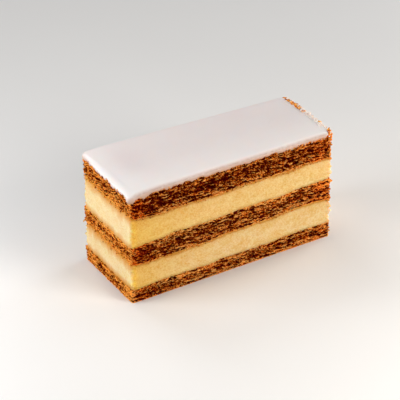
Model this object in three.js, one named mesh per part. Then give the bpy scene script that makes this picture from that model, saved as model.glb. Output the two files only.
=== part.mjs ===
import * as THREE from 'three';
import { ImprovedNoise } from 'three/addons/math/ImprovedNoise.js';

// A slice of mille feuille: three sheets of flaky pastry, two layers of set custard between
// them and a coat of poured fondant icing on top. Millimetres, +Z up. The origin is at the
// middle of the base. The long cut faces look to -Y and +Y, the short ends to -X and +X.

// Driving dimensions of the slice
const LENGTH = 110; // between the cut ends
const WIDTH = 43; // between the long cut faces, at mid length
const TAPER = 5.4; // how much wider the left end is than the right end
const HEIGHT = 58.7; // from the base to the top of the icing
const CORNER_RADIUS = 1.3; // of the upright corners that the knife leaves
const LAYER_GAP = 0.3; // clear height between one layer and the next
const CAP_INSET = 4; // from a cut face to the plain middle of a layer

// The five joints between the layers, from the base up. Each has its height at mid length,
// how much it climbs from the left end to the right end, how far the knife has drawn it up
// (or down) right at the left end and right at the right end, and its rise and fall.
const JOINTS = {
  bottomToLower: { height: 8.0, climb: 1.0, leftLift: 0, rightLift: 0.4, wave: 0.28 },
  lowerToMiddle: { height: 20.4, climb: 3.2, leftLift: 2.4, rightLift: -1.2, wave: 0.3 },
  middleToUpper: { height: 31.8, climb: 2.0, leftLift: -1.1, rightLift: -0.2, wave: 0.3 },
  upperToTop: { height: 43.6, climb: 0.8, leftLift: 2.6, rightLift: -1.1, wave: 0.3 },
  topToIcing: { height: 56.5, climb: -0.3, leftLift: 0, rightLift: 0, wave: 0.05 },
};
const KNIFE_REACH = 5; // how far in from an end the knife has moved a joint
const LONG_WAVE = 37; // wavelength along the slice
const SHORT_WAVE = 17; // shorter wave riding on it
const CROSS_WAVE = 31; // wavelength across the slice

// Relief of the cut pastry: the leaves of dough end flush with the knife's cut, and between
// them are long hollows that open, close and run into each other.
const HOLLOW_DEPTH = 1.1; // the deepest hollow
const HOLLOW_SHARE = 0.62; // average depth between two leaves, as a share of the deepest
const LEAF_SHARE = 0.02; // the same on the leaves' own edges, where some are broken off
const HOLLOW_VARIES = 1.1; // how much both vary from place to place
const LEAF_LENGTH = 8; // size of a hollow along the face
const LEAF_STEP = 0.7; // how far one level's noise is from the next one's
const LEAF_WANDER = 0.42; // share of a level by which a leaf's edge wanders up and down

// The custard is set back a little from the flakes, and swells and sinks gently.
const CUSTARD_SETBACK = 0.4;
const CUSTARD_SWELL = 0.22;
const CUSTARD_SWELL_SIZE = 9;

// The icing's lip hangs over the top edge of the pastry, further at some places than others.
const LIP_DROP = 0.45; // how far the lip hangs on average
const LIP_DROP_VARIES = 0.7; // how much that varies from place to place
const LIP_DROP_END = 0.5; // what the left end's lip hangs beyond that
const LIP_DRIP = 1.3; // the tip that hangs from the front left corner
const LIP_DRIP_REACH = 3; // how far that tip spreads along the edge
const LIP_DRIP_SIZE = 7; // size of the runs along the edge
const LIP_LEAST = 0.1; // the least that it hangs
const LIP_THICKNESS = 0.85; // of the lip, from its outer face to the pastry
const LIP_GAP = 0.25; // clear space between the lip and the pastry behind it
const LIP_TIP = 0.25; // how far the lip's lower edge is rounded back
const LIP_INNER_RISE = 0.15; // how much higher the lip's inner edge is than its tip
const LIP_OUTER_RISE = 0.5; // height over which the lip's outer face rounds under
const LIP_ROOT = 0.4; // from the lip's inner face to the icing's level underside
const PASTRY_SHOULDER = 0.35; // the pastry's rounded top edge behind the lip

// The icing's upper edge, as steps in from its outer face and shares of the rim's height.
const RIM_HEIGHT = 1.5;
const RIM = [
  { inset: 0, share: 0, corner: 2 },
  { inset: 0.4, share: 0.55, corner: 4 },
  { inset: 1.3, share: 0.9, corner: 4 },
  { inset: 3.2, share: 1, corner: 2 },
]; // corner is the radius at the back left, the roundest one seen from above

// At the right end the icing stops short and the pastry stands up beside it as a crumbly crest.
const ICING_STOP = 2.7; // from the right cut face to the icing
const CREST_WIDTH = 2.1;
const CREST_HEIGHT = 57.7; // average height of the crest
const CREST_VARIES = 1.2;
const CREST_LUMP = 2.6; // size of the lumps along the crest
const CREST_SHOULDER = 0.5; // how far the crest slopes down to the cut face

// Number of flat steps that each outline takes.
const LONG_STEPS = 30;
const SHORT_STEPS = 12;
const CORNER_STEPS = 2;
const LEVELS = { top: 14, middle: 12, bottom: 8, custard: 3 };

const PASTRY = { color: 0xa9652f, roughness: 0.85, metalness: 0 };
const CUSTARD = { color: 0xecc58a, roughness: 0.5, metalness: 0 };
const ICING = { color: 0xe9e3df, roughness: 0.25, metalness: 0 };

const { clamp, lerp } = THREE.MathUtils;
const improvedNoise = new ImprovedNoise();

// Smooth noise between about -1 and 1.
function noise(x, y, z) {
  return 1.4 * improvedNoise.noise(x + 0.37, y + 0.61, z + 0.83);
}

// Height of a joint between two layers at a place in the slice.
function jointHeight(joint, x, y) {
  const fromLeft = Math.exp(-(x + LENGTH / 2) / KNIFE_REACH);
  const fromRight = Math.exp(-(LENGTH / 2 - x) / KNIFE_REACH);
  const turn = 2 * Math.PI;
  const phase = joint.height;
  const wave =
    Math.sin((turn * x) / LONG_WAVE + phase) +
    0.5 * Math.sin((turn * x) / SHORT_WAVE + 2 * phase) +
    0.4 * Math.sin((turn * y) / CROSS_WAVE + 3 * phase);
  return (
    joint.height +
    (joint.climb * x) / LENGTH +
    joint.leftLift * fromLeft +
    joint.rightLift * fromRight +
    joint.wave * wave
  );
}

// The slice is a little wider at its left end: the share of the middle's width at x.
function widthShare(x) {
  return 1 - ((TAPER / WIDTH) * x) / LENGTH;
}

// The four sides of the slice, moved in by an inset that may be its own at the right end.
function slicePlan(inset, rightInset = inset) {
  return {
    left: -LENGTH / 2 + inset,
    right: LENGTH / 2 - rightInset,
    front: -WIDTH / 2 + inset,
    back: WIDTH / 2 - inset,
  };
}

// Stations round a plan with rounded corners, anticlockwise from the front left corner. Each
// has its place and the direction that points out of the slice there.
function stationsRound(plan, radius, backLeftRadius = radius) {
  const corners = [
    { x: plan.left, y: plan.front, inX: 1, inY: 1, radius, steps: LONG_STEPS },
    { x: plan.right, y: plan.front, inX: -1, inY: 1, radius, steps: SHORT_STEPS },
    { x: plan.right, y: plan.back, inX: -1, inY: -1, radius, steps: LONG_STEPS },
    { x: plan.left, y: plan.back, inX: 1, inY: -1, radius: backLeftRadius, steps: SHORT_STEPS },
  ];
  const arcs = corners.map((corner, side) => {
    const arc = [];
    for (let step = 0; step <= CORNER_STEPS; step++) {
      const angle = Math.PI + (Math.PI / 2) * (side + step / CORNER_STEPS);
      const nx = Math.cos(angle);
      const ny = Math.sin(angle);
      const x = corner.x + corner.radius * (corner.inX + nx);
      const y = corner.y + corner.radius * (corner.inY + ny);
      arc.push({ x, y, nx, ny });
    }
    return arc;
  });
  const stations = [];
  arcs.forEach((arc, side) => {
    stations.push(...arc);
    const from = arc[CORNER_STEPS];
    const to = arcs[(side + 1) % arcs.length][0];
    for (let step = 1; step < corners[side].steps; step++) {
      const share = step / corners[side].steps;
      const x = lerp(from.x, to.x, share);
      const y = lerp(from.y, to.y, share);
      stations.push({ x, y, nx: from.nx, ny: from.ny });
    }
  });
  return stations;
}

// A ring of points: the stations set at their height and moved in by the hollow there.
function ring(stations, heightAt, hollowAt = () => 0) {
  return stations.map((station) => {
    const z = heightAt(station);
    const hollow = hollowAt(station);
    const x = station.x - station.nx * hollow;
    const y = (station.y - station.ny * hollow) * widthShare(x);
    return new THREE.Vector3(x, y, z);
  });
}

// A closed body skinned over rings of equal length, from its underside outwards and up to its
// top, with the first and last rings filled in.
function skinOver(rings) {
  const count = rings[0].length;
  const positions = rings.flat().flatMap((point) => [point.x, point.y, point.z]);
  const index = [];
  for (let level = 0; level < rings.length - 1; level++) {
    for (let i = 0; i < count; i++) {
      const next = (i + 1) % count;
      const a = level * count + i;
      const b = level * count + next;
      const c = a + count;
      const d = b + count;
      index.push(a, b, d, a, d, c);
    }
  }
  const contour = rings[0].map((point) => new THREE.Vector2(point.x, point.y));
  const last = (rings.length - 1) * count;
  for (const [a, b, c] of THREE.ShapeUtils.triangulateShape(contour, [])) {
    index.push(a, c, b);
  }
  const topContour = rings.at(-1).map((point) => new THREE.Vector2(point.x, point.y));
  for (const [a, b, c] of THREE.ShapeUtils.triangulateShape(topContour, [])) {
    index.push(last + a, last + b, last + c);
  }
  const geometry = new THREE.BufferGeometry();
  geometry.setAttribute('position', new THREE.Float32BufferAttribute(positions, 3));
  geometry.setIndex(index);
  geometry.computeVertexNormals();
  return geometry;
}

// How far a cut face of pastry is set back at a level. Every second level is the edge of a
// leaf, flush with the cut or nearly so, and the levels between are hollow.
function leafHollow(station, level) {
  const share = level % 2 === 0 ? LEAF_SHARE : HOLLOW_SHARE;
  const varies = noise(station.x / LEAF_LENGTH, station.y / LEAF_LENGTH, level * LEAF_STEP);
  return HOLLOW_DEPTH * clamp(share + HOLLOW_VARIES * varies, 0, 1);
}

// Setback of the custard from the cut face.
function custardHollow(station, level) {
  const size = CUSTARD_SWELL_SIZE;
  return CUSTARD_SETBACK + CUSTARD_SWELL * noise(station.x / size, station.y / size, level / 2);
}

// Rings up a cut face between two heights. Levels between the ends wander up and down.
function wallRings(levels, bottomAt, topAt, hollowAt, wander) {
  const stations = stationsRound(slicePlan(0), CORNER_RADIUS);
  const rings = [];
  for (let level = 0; level <= levels; level++) {
    const free = level > 0 && level < levels ? wander : 0;
    const heightAt = (station) => {
      const drift = noise(station.x / LEAF_LENGTH, station.y / LEAF_LENGTH, -level * LEAF_STEP);
      return lerp(bottomAt(station), topAt(station), (level + free * drift) / levels);
    };
    rings.push(ring(stations, heightAt, (station) => hollowAt(station, level)));
  }
  return rings;
}

// The plain ring inside a layer's edge, on which its flat top or underside is filled in.
function capRing(heightAt) {
  return ring(stationsRound(slicePlan(CAP_INSET), CORNER_RADIUS / 4), heightAt);
}

// Height just above or just below a joint, as a function of the station.
function above(joint) {
  return (station) => jointHeight(joint, station.x, station.y) + LAYER_GAP / 2;
}
function below(joint) {
  return (station) => jointHeight(joint, station.x, station.y) - LAYER_GAP / 2;
}
function base() {
  return 0;
}

// A pastry or custard layer that runs through the slice between two heights.
function layer(bottomAt, topAt, levels, hollowAt, wander) {
  return skinOver([
    capRing(bottomAt),
    ...wallRings(levels, bottomAt, topAt, hollowAt, wander),
    capRing(topAt),
  ]);
}

// How far the icing's lip hangs below the joint. It stops level with the joint at the right end.
function lipDrop(station) {
  const size = LIP_DRIP_SIZE;
  const runs = LIP_DROP_VARIES * noise(station.x / size, station.y / size, 0);
  const end = LIP_DROP_END * clamp(-station.nx, 0, 1);
  const alongFront = station.x + LENGTH / 2;
  const alongEnd = station.y + WIDTH / 2;
  const nearCorner = Math.exp(-(alongFront ** 2 + alongEnd ** 2) / (2 * LIP_DRIP_REACH ** 2));
  const drop = Math.max(LIP_DROP + runs, LIP_LEAST) + end + LIP_DRIP * nearCorner;
  return drop * (1 - clamp(station.nx, 0, 1));
}

// Height of the pastry's crest beside the icing, for stations on the right end.
function crestHeight(station) {
  return CREST_HEIGHT + CREST_VARIES * noise(station.x / CREST_LUMP, station.y / CREST_LUMP, 5);
}

// Picks the height of a station: its own on the right end, and blended round the corners.
function blendToRight(sideAt, rightAt) {
  return (station) => lerp(sideAt(station), rightAt(station), clamp(station.nx, 0, 1));
}

// The top pastry sheet: its edge ducks under the icing's lip, and rises in a crest at the right.
function topPastry() {
  const joint = below(JOINTS.topToIcing);
  const wallTop = blendToRight(
    (station) => joint(station) - lipDrop(station) - LIP_GAP,
    (station) => crestHeight(station) - CREST_SHOULDER,
  );
  const behindLip = blendToRight(
    (station) => joint(station) - (1 - LIP_INNER_RISE) * lipDrop(station),
    crestHeight,
  );
  const edge = LIP_THICKNESS + LIP_GAP;
  const bottomAt = above(JOINTS.upperToTop);
  return skinOver([
    capRing(bottomAt),
    ...wallRings(LEVELS.top, bottomAt, wallTop, leafHollow, LEAF_WANDER),
    ring(stationsRound(slicePlan(edge), CORNER_RADIUS / 2), behindLip),
    ring(stationsRound(slicePlan(edge + PASTRY_SHOULDER, CREST_WIDTH), CORNER_RADIUS / 3), joint),
    capRing(joint),
  ]);
}

// The fondant: a poured sheet with a soft rounded rim and an uneven lip round three sides.
function icingSheet() {
  const underside = above(JOINTS.topToIcing);
  const lipAt = (rise) => (station) => underside(station) - lipDrop(station) + rise;
  const plan = (inset) => slicePlan(inset, ICING_STOP + inset);
  const cap = stationsRound(plan(CAP_INSET), CORNER_RADIUS / 4);
  const rim = RIM.map(({ inset, share, corner }) => {
    const height = HEIGHT - RIM_HEIGHT * (1 - share);
    return ring(stationsRound(plan(inset), CORNER_RADIUS, corner), () => height);
  });
  return skinOver([
    ring(cap, underside),
    ring(stationsRound(plan(LIP_THICKNESS + LIP_ROOT), CORNER_RADIUS / 3), underside),
    ring(stationsRound(plan(LIP_THICKNESS), CORNER_RADIUS / 2), lipAt(LIP_INNER_RISE)),
    ring(stationsRound(plan(LIP_TIP), CORNER_RADIUS), lipAt(0)),
    ring(stationsRound(plan(0), CORNER_RADIUS), lipAt(LIP_OUTER_RISE)),
    ...rim,
    ring(cap, () => HEIGHT),
  ]);
}

// One named layer of the slice.
function named(name, geometry, finish) {
  const mesh = new THREE.Mesh(geometry, new THREE.MeshStandardMaterial(finish));
  mesh.name = name;
  return mesh;
}

const { bottomToLower, lowerToMiddle, middleToUpper, upperToTop } = JOINTS;
const bottomPastry = layer(
  base,
  below(bottomToLower),
  LEVELS.bottom,
  leafHollow,
  LEAF_WANDER,
);
const middlePastry = layer(
  above(lowerToMiddle),
  below(middleToUpper),
  LEVELS.middle,
  leafHollow,
  LEAF_WANDER,
);
const lowerCustard = layer(
  above(bottomToLower),
  below(lowerToMiddle),
  LEVELS.custard,
  custardHollow,
  0,
);
const upperCustard = layer(
  above(middleToUpper),
  below(upperToTop),
  LEVELS.custard,
  custardHollow,
  0,
);

const slice = new THREE.Group();
slice.add(
  named('pastry_bottom', bottomPastry, PASTRY),
  named('custard_lower', lowerCustard, CUSTARD),
  named('pastry_middle', middlePastry, PASTRY),
  named('custard_upper', upperCustard, CUSTARD),
  named('pastry_top', topPastry(), PASTRY),
  named('icing', icingSheet(), ICING),
);

export default slice;
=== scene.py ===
"""A slice of mille feuille: three sheets of flaky pastry, two layers of custard and a coat of fondant.

The shapes are built in millimetres, in the part's own frame, and brought to metres at the end.
"""

import logging
import math
import random
from dataclasses import dataclass
from enum import Enum
from typing import Callable, ClassVar, Sequence

import bmesh
import bpy
from mathutils import Matrix, Vector, noise


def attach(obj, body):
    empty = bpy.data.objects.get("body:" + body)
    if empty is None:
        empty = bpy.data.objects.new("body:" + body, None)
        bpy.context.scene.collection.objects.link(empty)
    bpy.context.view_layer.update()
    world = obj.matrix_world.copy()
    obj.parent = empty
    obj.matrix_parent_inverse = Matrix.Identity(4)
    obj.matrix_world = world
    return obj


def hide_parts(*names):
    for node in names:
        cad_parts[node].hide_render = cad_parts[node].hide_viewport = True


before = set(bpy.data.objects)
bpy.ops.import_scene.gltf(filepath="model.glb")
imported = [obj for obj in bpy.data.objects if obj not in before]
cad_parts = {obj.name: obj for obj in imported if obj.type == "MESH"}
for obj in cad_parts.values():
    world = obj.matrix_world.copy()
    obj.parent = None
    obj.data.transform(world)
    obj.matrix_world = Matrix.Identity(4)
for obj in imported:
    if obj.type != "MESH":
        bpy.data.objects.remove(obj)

LOG = logging.getLogger("mille_feuille")
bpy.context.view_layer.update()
MM = 0.001  # metres in a millimetre
BAKE_MAP = "OFBake"  # the layout that the finishes are baked through
SEED = 20
RIGHT_FLARE = 0.9  # how much further the right end stands out at its foot, in millimetres
FLARE_HEIGHT = 80  # where it would end
WELD = 1e-5  # millimetres within which the points of a seam become one

Colour = tuple[float, float, float]
Sizes = tuple[float, float, float]
Pair = tuple[float, float]
Range = tuple[float, float]  # the lowest and the highest, or where a change starts and where it ends
Peaked = tuple[float, float, float]  # the lowest, the highest and the likeliest


class Slot(Enum):
    """The record's material slots."""

    PASTRY = "pastry"
    CUSTARD = "custard"
    ICING = "icing"


class Blend(Enum):
    """The ways in which two colours are mixed."""

    MIX = "MIX"
    MULTIPLY = "MULTIPLY"


class Sum(Enum):
    """The sums that a Math node does."""

    ADD = "ADD"
    SUBTRACT = "SUBTRACT"
    MULTIPLY = "MULTIPLY"


# ---------------------------------------------------------------------------------------------
# Small sums
# ---------------------------------------------------------------------------------------------


def eased(low: float, high: float, value: float) -> float:
    """Return 0 below low and 1 above high, with a smooth change between them."""
    share = min(max((value - low) / (high - low), 0.0), 1.0)
    return share * share * (3 - 2 * share)


def grain(x: float, y: float, z: float) -> float:
    """Return smooth noise from about -1 to 1."""
    return noise.noise((x, y, z))


def grained(x: float, y: float, z: float, size: Sizes, far: float = 0.0) -> float:
    """Return smooth noise whose lumps have a size of their own.

    Args:
        x: place along the slice.
        y: place across the slice.
        z: height.
        size: the lumps' length, depth and height.
        far: how far off in the noise they are taken from.

    Returns:
        The noise, from about -1 to 1.
    """
    return grain(x / size[0], y / size[1], z / size[2] + far)


def flared(out_x: float, z: float) -> float:
    """Return how much further the right end stands out low down, in millimetres."""
    return RIGHT_FLARE * max(0.0, out_x) * (1 - z / FLARE_HEIGHT)


def between(start: float, end: float, share: float) -> float:
    """Return the value that lies that share of the way from start to end."""
    return start + (end - start) * share


# ---------------------------------------------------------------------------------------------
# The outline and the joints of the slice, in millimetres
# ---------------------------------------------------------------------------------------------


@dataclass(frozen=True)
class Station:
    """A place on the outline, with the direction out of the cut face there."""

    x: float
    y: float
    out_x: float
    out_y: float
    share: float  # of the way round


@dataclass(frozen=True)
class Plan:
    """The slice from above: an oblong with rounded corners, a little narrower at its right end."""

    left: float = -55.0
    right: float = 55.0
    width: float = 43.0
    corners: tuple[float, float, float, float] = (1.3, 1.3, 1.3, 1.3)  # from front left, anticlockwise
    length: ClassVar[float] = 110.0
    taper: ClassVar[float] = 5.4

    def narrowed(self, x: float) -> float:
        """Return the share of the middle width that the slice has at x."""
        return 1 - self.taper / Plan.width * x / self.length

    @staticmethod
    def painted_end_light(station: Station) -> float:
        """Return how much of the ends' painted light a place gets, which is stronger at the left end."""
        return station.out_x**2 * (1.0 if station.out_x < 0 else 0.5)

    def _spans(self) -> list[tuple[Vector, Vector, float, float]]:
        """List the straights and corners of the outline.

        Returns:
            The start, direction, length and radius of each, anticlockwise from the front left.
        """
        front_left, front_right, back_right, back_left = self.corners
        half, length = self.width / 2, self.right - self.left
        ahead, up, back, down = (Vector(v) for v in ((1, 0), (0, 1), (-1, 0), (0, -1)))
        corner = math.pi / 2
        return [
            (Vector((self.left + front_left, -half)), ahead, length - front_left - front_right, 0),
            (Vector((self.right - front_right, -half)), ahead, corner * front_right, front_right),
            (Vector((self.right, -half + front_right)), up, self.width - front_right - back_right, 0),
            (Vector((self.right, half - back_right)), up, corner * back_right, back_right),
            (Vector((self.right - back_right, half)), back, length - back_right - back_left, 0),
            (Vector((self.left + back_left, half)), back, corner * back_left, back_left),
            (Vector((self.left, half - back_left)), down, self.width - back_left - front_left, 0),
            (Vector((self.left, -half + front_left)), down, corner * front_left, front_left),
        ]

    def _place(self, distance: float) -> Vector:
        """Return a point of the outline.

        Args:
            distance: how far round it the point lies.

        Returns:
            The point.
        """
        spans = self._spans()
        for start, ahead, length, radius in spans:
            if distance <= length or (start, ahead, length, radius) == spans[-1]:
                break
            distance -= length
        if radius:
            turned = distance / radius
            left = Vector((-ahead.y, ahead.x))
            point = start + ahead * radius * math.sin(turned) + left * radius * (1 - math.cos(turned))
        else:
            point = start + ahead * distance
        return Vector((point.x, point.y * self.narrowed(point.x)))

    def stations(self, count: int) -> list[Station]:
        """Return evenly spaced places round the outline, the first of them again at the end.

        Args:
            count: how many places there are.

        Returns:
            The places, anticlockwise from the front left corner.
        """
        whole = sum(span[2] for span in self._spans())
        points = [self._place(whole * i / count) for i in range(count)]
        found = []
        for i in range(count + 1):
            here = points[i % count]
            along = (points[(i + 1) % count] - points[i - 1 if i else -1]) if i < count else found[0]
            if i == count:
                found.append(Station(here.x, here.y, found[0].out_x, found[0].out_y, 1.0))
                break
            along.normalize()
            found.append(Station(here.x, here.y, along.y, -along.x, i / count))
        return found


@dataclass(frozen=True)
class Joint:
    """The wavy face between two layers."""

    height: float
    climb: float = 0.0  # from the left end to the right one
    left_lift: float = 0.0  # within the knife's reach of the left end
    right_lift: float = 0.0
    wave: float = 0.3
    knife_reach: ClassVar[float] = 5.0
    long_wave: ClassVar[float] = 37.0
    short_wave: ClassVar[float] = 17.0
    cross_wave: ClassVar[float] = 31.0

    def at(self, x: float, y: float) -> float:
        """Return the joint's height at a place.

        Args:
            x: place along the slice.
            y: place across the slice.

        Returns:
            The height.
        """
        half = Plan.length / 2
        turn = 2 * math.pi
        ripple = (
            math.sin(turn * x / self.long_wave + self.height)
            + 0.5 * math.sin(turn * x / self.short_wave + 2 * self.height)
            + 0.4 * math.sin(turn * y / self.cross_wave + 3 * self.height)
        )
        return (
            self.height
            + self.climb * x / Plan.length
            + self.left_lift * math.exp(-(x + half) / self.knife_reach)
            + self.right_lift * math.exp(-(half - x) / self.knife_reach)
            + self.wave * ripple
        )


BASE = Joint(0.0, wave=0.0)
BOTTOM_TO_LOWER = Joint(8.0, climb=1.0, right_lift=0.4, wave=0.28)
LOWER_TO_MIDDLE = Joint(20.4, climb=3.2, left_lift=2.4, right_lift=-1.2)
MIDDLE_TO_UPPER = Joint(31.8, climb=2.0, left_lift=-1.1, right_lift=-0.2)
UPPER_TO_TOP = Joint(43.6, climb=0.8, left_lift=2.6, right_lift=-1.1)
TOP_TO_ICING = Joint(56.5, climb=-0.3, wave=0.05)
TOP_HEIGHT = 58.7


@dataclass(frozen=True)
class Raggedness:
    """How unevenly a pastry edge meets the custard beside it."""

    coarse: float = 0.28
    coarse_size: float = 1.6
    fine: float = 0.16
    fine_size: float = 0.55
    at_end: float = 0.9  # how much rougher it is at the left end
    end_reach: float = 3.0

    def at(self, joint: Joint, x: float, y: float) -> float:
        """Return how far the edge at a joint strays up from its smooth line.

        Args:
            joint: the joint that the edge follows.
            x: place along the slice.
            y: place across the slice.

        Returns:
            The stray, below 0 where the edge dips.
        """
        far = joint.height
        rougher = 1 + self.at_end * (1 - eased(0.0, self.end_reach, x + Plan.length / 2))
        ragged = self.coarse * grain(x / self.coarse_size, y / self.coarse_size, far)
        return rougher * (ragged + self.fine * grain(x / self.fine_size, y / self.fine_size, far + 9))


EDGE = Raggedness()


# ---------------------------------------------------------------------------------------------
# Mesh work
# ---------------------------------------------------------------------------------------------

Placed = tuple[Vector, Sequence[float]]


@dataclass(frozen=True)
class BakeSheet:
    """Where the faces of a wrapped skin and of its loose bits lie in the texture layout."""

    strips: int = 4
    spare: float = 0.45  # height of the part kept for loose bits, in strips
    margin: float = 0.03
    gap: float = 0.1  # share of a cell that stays free beside its loose bit

    def on_strip(self, across: float, up: float, strip: int) -> tuple[float, float]:
        """Return the layout place of a point of a strip, from its shares across and up it."""
        inner = self.margin + (1 - 2 * self.margin) * up
        return across, (strip + inner) / (self.strips + self.spare)

    def on_cell(self, across: float, up: float, cell: int, cells: int) -> tuple[float, float]:
        """Return the layout place of a point of one loose bit.

        Args:
            across: its share of the way across the bit.
            up: its share of the way up it.
            cell: the bit's cell.
            cells: how many cells there are.

        Returns:
            The place.
        """
        low = (self.strips + self.margin) / (self.strips + self.spare)
        along = (cell + self.gap + (1 - 2 * self.gap) * across) / cells
        return along, low + (1 - low) * (1 - self.gap) * up


SHEET = BakeSheet()


def wrapped_skin(
    stations: list[Station],
    rows: int,
    place: Callable[[Station, int], Placed],
    marks: Sequence[str],
) -> bmesh.types.BMesh:
    """Wrap a grid round the slice, move each of its points into place, and close both ends.

    Args:
        stations: places round the outline, with the first one again at the end.
        rows: rows of points from the underside to the top.
        place: gives a station and a row their point, and the values of the marks there.
        marks: names of the values kept on the points for the finish to read.

    Returns:
        The closed skin, with its marks and its texture layout.
    """
    columns = len(stations) - 1
    mesh = bmesh.new()
    bmesh.ops.create_grid(mesh, x_segments=columns, y_segments=rows - 1, size=0.5)
    layers = [mesh.verts.layers.float.new(name) for name in marks]
    layout = mesh.loops.layers.uv.new(BAKE_MAP)
    mesh.verts.ensure_lookup_table()
    mesh.verts.index_update()
    for face in mesh.faces:
        spots = [divmod(loop.vert.index, columns + 1) for loop in face.loops]
        first = min(column for _, column in spots)
        strip = first * SHEET.strips // columns
        start = strip * columns / SHEET.strips
        for loop, (row, column) in zip(face.loops, spots):
            across = (column - start) * SHEET.strips / columns
            loop[layout].uv = SHEET.on_strip(min(max(across, 0.0), 1.0), row / (rows - 1), strip)
    for vert in mesh.verts:
        row, column = divmod(vert.index, columns + 1)
        vert.co, values = place(stations[column], row)
        for layer, value in zip(layers, values):
            vert[layer] = value
    bmesh.ops.remove_doubles(mesh, verts=[v for v in mesh.verts if v.is_boundary], dist=WELD)
    bmesh.ops.holes_fill(mesh, edges=[e for e in mesh.edges if e.is_boundary], sides=0)
    bmesh.ops.recalc_face_normals(mesh, faces=mesh.faces)
    return mesh


def loose_bits(marks: Sequence[str]) -> bmesh.types.BMesh:
    """Return an empty mesh that takes crumbs and flakes.

    Args:
        marks: names of the values that their points carry.

    Returns:
        The mesh.
    """
    mesh = bmesh.new()
    for name in marks:
        mesh.verts.layers.float.new(name)
    mesh.loops.layers.uv.new(BAKE_MAP)
    return mesh


def join(mesh: bmesh.types.BMesh, other: bmesh.types.BMesh) -> None:
    """Add another mesh to a mesh.

    Args:
        mesh: the mesh that grows.
        other: the mesh that joins it, which is freed.
    """
    carrier = bpy.data.meshes.new("carrier")
    other.to_mesh(carrier)
    other.free()
    mesh.from_mesh(carrier)
    bpy.data.meshes.remove(carrier)


def add_shard(
    mesh: bmesh.types.BMesh,
    size: tuple[float, float, float],
    turn: Matrix,
    curl: float,
    rng: random.Random,
    values: dict[str, float],
    cell: tuple[int, int],
) -> None:
    """Add one thin ragged flake to a mesh.

    Args:
        mesh: the mesh it joins.
        size: length, depth and thickness.
        turn: brings the flake from the origin to its place.
        curl: how far its ends lift.
        rng: draws the ragged edge.
        values: what its points say to the finish.
        cell: its cell in the texture layout, and how many there are.
    """
    length, depth, thickness = size
    verts = bmesh.ops.create_grid(mesh, x_segments=7, y_segments=2, size=0.5)["verts"]
    layout = mesh.loops.layers.uv[BAKE_MAP]
    faces = {face for vert in verts for face in vert.link_faces}
    for face in faces:
        for loop in face.loops:
            loop[layout].uv = SHEET.on_cell(loop.vert.co.x + 0.5, loop.vert.co.y + 0.5, *cell)
    for vert in verts:
        across, out = vert.co.x, vert.co.y + 0.5
        taper = 1 - abs(2 * across) ** 2.4 * 0.85
        ragged = 1 + 0.45 * rng.uniform(-1, 1)
        vert.co = Vector((
            across * length,
            out * depth * taper * ragged,
            curl * (4 * across * across - 0.4) + 0.3 * thickness * rng.uniform(-1, 1),
        ))
    grown = bmesh.ops.solidify(mesh, geom=list(faces), thickness=thickness)["geom"]
    verts = verts + [part for part in grown if isinstance(part, bmesh.types.BMVert)]
    for name, value in values.items():
        layer = mesh.verts.layers.float[name]
        for vert in verts:
            vert[layer] = value
    bmesh.ops.transform(mesh, matrix=turn, verts=list(set(verts)))


def add_crumb(
    mesh: bmesh.types.BMesh,
    centre: Vector,
    radius: float,
    rng: random.Random,
    values: dict[str, float],
    detail: int = 2,
) -> None:
    """Add one crumb, an uneven lump, to a mesh.

    Args:
        mesh: the mesh it joins.
        centre: where it lies.
        radius: its mean radius.
        rng: draws its shape.
        values: what its points say to the finish.
        detail: how finely it is divided.
    """
    angle = rng.uniform(0, 6.28)
    turn = Matrix.Translation(centre) @ Matrix.Rotation(angle, 4, Vector((rng.random(), 1, 0.4)))
    made = bmesh.ops.create_icosphere(mesh, subdivisions=detail, radius=1.0, calc_uvs=False)["verts"]
    stretch = Vector((rng.uniform(0.75, 1.35), rng.uniform(0.7, 1.2), rng.uniform(0.55, 0.95)))
    far = rng.uniform(0, 90)
    for vert in made:
        lump = 1 + 0.45 * grain(vert.co.x * 1.3 + far, vert.co.y * 1.3, vert.co.z * 1.3)
        vert.co = Vector(a * b for a, b in zip(vert.co, stretch)) * radius * lump
    bmesh.ops.transform(mesh, matrix=turn, verts=made)
    for name, value in values.items():
        layer = mesh.verts.layers.float[name]
        for vert in made:
            vert[layer] = value


def finished(
    name: str,
    mesh: bmesh.types.BMesh,
    material: bpy.types.Material,
    node: str | None,
    smooth: bool,
) -> bpy.types.Object:
    """Bring a mesh to metres, dress it and place it on the part.

    Args:
        name: the piece's name.
        mesh: its mesh in millimetres, which is freed.
        material: its finish.
        node: the solid that it stands for, if any.
        smooth: whether its faces shade smoothly.

    Returns:
        The new object.
    """
    bmesh.ops.scale(mesh, vec=(MM, MM, MM), verts=mesh.verts)
    data = bpy.data.meshes.new(name)
    for face in mesh.faces:
        face.smooth = smooth
    mesh.to_mesh(data)
    mesh.free()
    data.materials.append(material)
    thing = bpy.data.objects.new(name, data)
    bpy.context.scene.collection.objects.link(thing)
    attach(thing, "root")
    if node:
        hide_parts(node)
    LOG.info("%s: %d faces", name, len(data.polygons))
    return thing


# ---------------------------------------------------------------------------------------------
# Finishes
# ---------------------------------------------------------------------------------------------


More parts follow.
